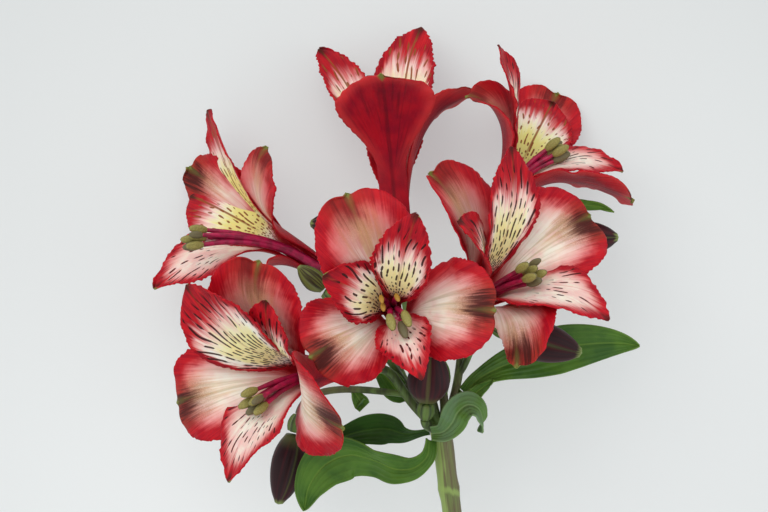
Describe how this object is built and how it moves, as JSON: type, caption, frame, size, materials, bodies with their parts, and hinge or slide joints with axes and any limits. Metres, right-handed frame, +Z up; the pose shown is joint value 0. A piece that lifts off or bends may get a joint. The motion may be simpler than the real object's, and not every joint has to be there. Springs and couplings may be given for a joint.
{
  "type": "alstroemeria stem",
  "caption": "Cut flower stem lying on a surface: red and cream lily-like blooms, dark closed buds and twisted leaves on one long plain stalk with a cut end.",
  "frame": {"origin": "middle of the bounding box, on the surface that the stem lies on", "axes": "+Z up from the surface; +Y along the stem, from the cut end to the flowers; +X to the right of the flower head seen from above"},
  "size_m": [0.1562, 0.3092, 0.1108],
  "materials": {
    "petal": "soft satin petal, cream with red margins",
    "stamen": "satin filament, matte olive anther",
    "ovary": "satin, ribbed",
    "bud": "satin, dark",
    "leaf": "satin leaf with parallel veins",
    "stalk": "smooth satin fresh stalk"
  },
  "bodies": {
    "root": {"bloom_front_ovary": "ovary", "bloom_front_petals": "petal", "bloom_front_stamens": "stamen", "bloom_lower_left_ovary": "ovary", "bloom_lower_left_petals": "petal", "bloom_lower_left_stamens": "stamen", "bloom_mid_left_ovary": "ovary", "bloom_mid_left_petals": "petal", "bloom_mid_left_stamens": "stamen", "bloom_right_ovary": "ovary", "bloom_right_petals": "petal", "bloom_right_stamens": "stamen", "bloom_top_back_ovary": "ovary", "bloom_top_back_petals": "petal", "bloom_top_back_stamens": "stamen", "bloom_top_right_ovary": "ovary", "bloom_top_right_petals": "petal", "bloom_top_right_stamens": "stamen", "bud_back_left": "bud", "bud_back_left_ovary": "ovary", "bud_far_right": "bud", "bud_far_right_ovary": "ovary", "bud_inner_left": "bud", "bud_inner_left_ovary": "ovary", "bud_lower_left": "bud", "bud_lower_left_ovary": "ovary", "bud_middle": "bud", "bud_middle_ovary": "ovary", "bud_right": "bud", "bud_right_ovary": "ovary", "leaf_back_left": "leaf", "leaf_curled": "leaf", "leaf_lower_left": "leaf", "leaf_right": "leaf", "stem": "stalk"}
  },
  "joints": []
}
